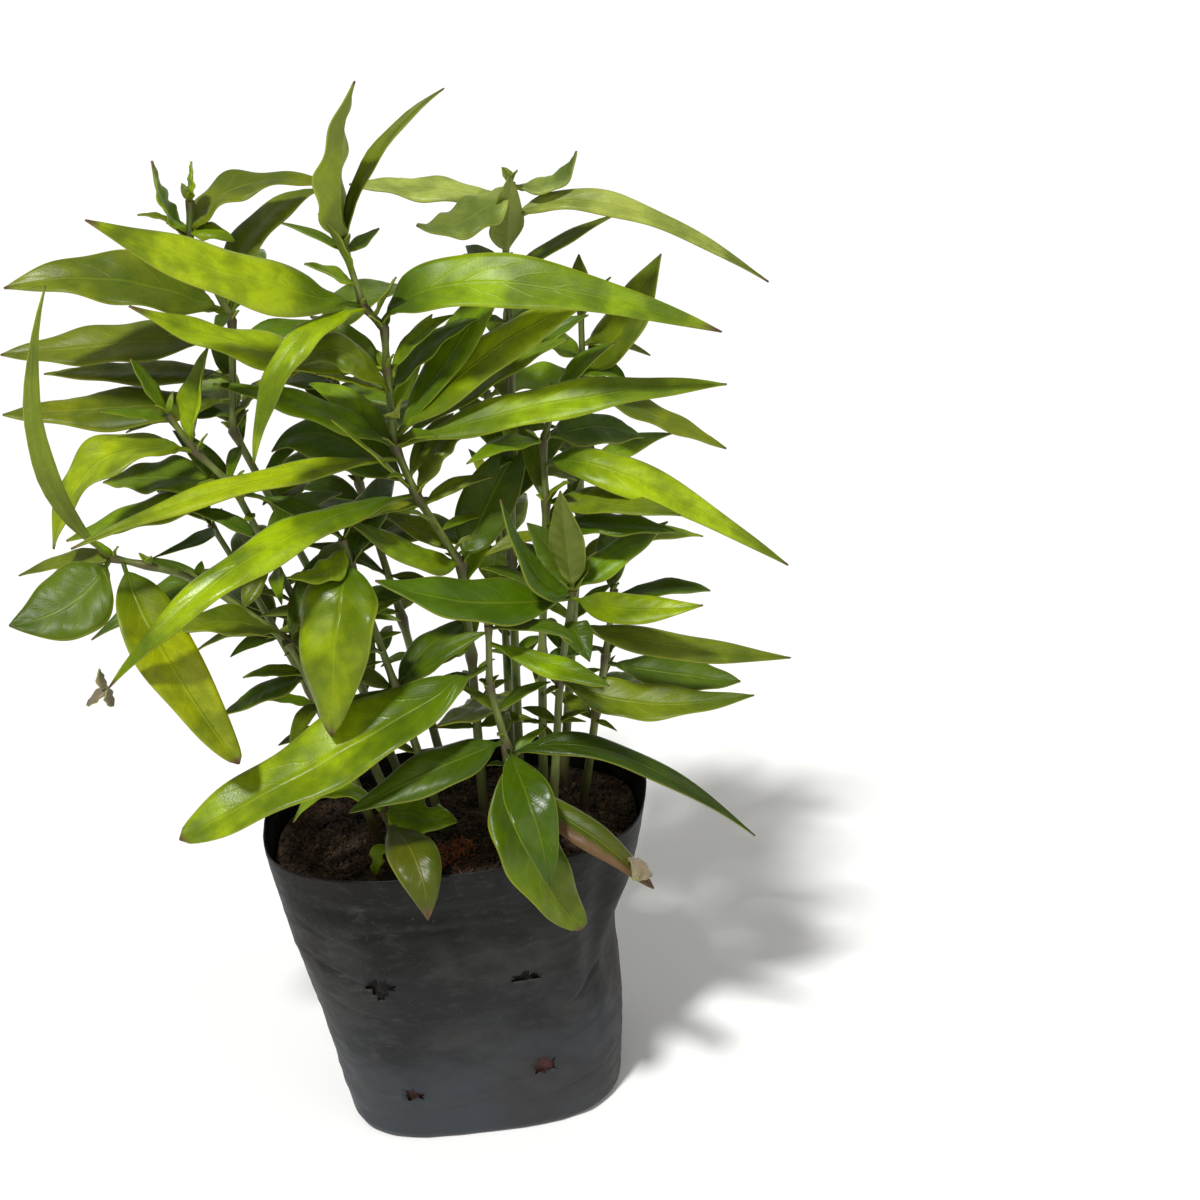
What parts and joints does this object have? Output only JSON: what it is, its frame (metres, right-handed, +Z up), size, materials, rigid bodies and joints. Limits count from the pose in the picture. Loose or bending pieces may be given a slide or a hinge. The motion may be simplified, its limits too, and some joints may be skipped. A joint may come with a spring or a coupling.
{
  "type": "potted herb",
  "caption": "Bushy potted herb with long narrow pointed leaves on slender jointed stems, growing in potting mix in a small black film nursery bag with punched drain holes.",
  "frame": {"origin": "in the plane of the bag's flat base, on the surface that it stands on, 1 mm to the +X side of the middle of its mouth; the base itself lies about 4 mm to the -X side of the origin", "axes": "+Z up along the plant; -Y is the bag's front, the side seen first; +X to the right seen from the front, along the flattened mouth"},
  "size_m": [0.1874, 0.1313, 0.2802],
  "materials": {
    "bag_film": "dusty, finely wrinkled black polythene film",
    "potting_mix": "moist brown coir and peat crumb with reddish fibres",
    "green_leaf": "satin living leaf, bright green, pale midrib",
    "shaded_leaf": "satin living leaf, darker green",
    "old_leaf": "glossy living leaf turning yellow-green, some tips brown"
  },
  "bodies": {
    "root": {"poly_bag": "bag_film", "potting_mix": "potting_mix", "stem_crown": "green_leaf", "stem_right_top": "green_leaf", "stem_left_back": "shaded_leaf", "stem_left_mid": "green_leaf", "stem_left_low": "old_leaf", "stem_centre_left": "old_leaf", "stem_right_mid": "green_leaf", "stem_centre_low": "shaded_leaf", "stem_front_low": "old_leaf", "stem_right_low": "shaded_leaf", "stem_back_right": "shaded_leaf", "stem_back_left": "shaded_leaf", "stem_back_mid": "green_leaf", "stem_left_rear": "shaded_leaf", "stem_rim_sprout": "old_leaf"}
  },
  "joints": []
}
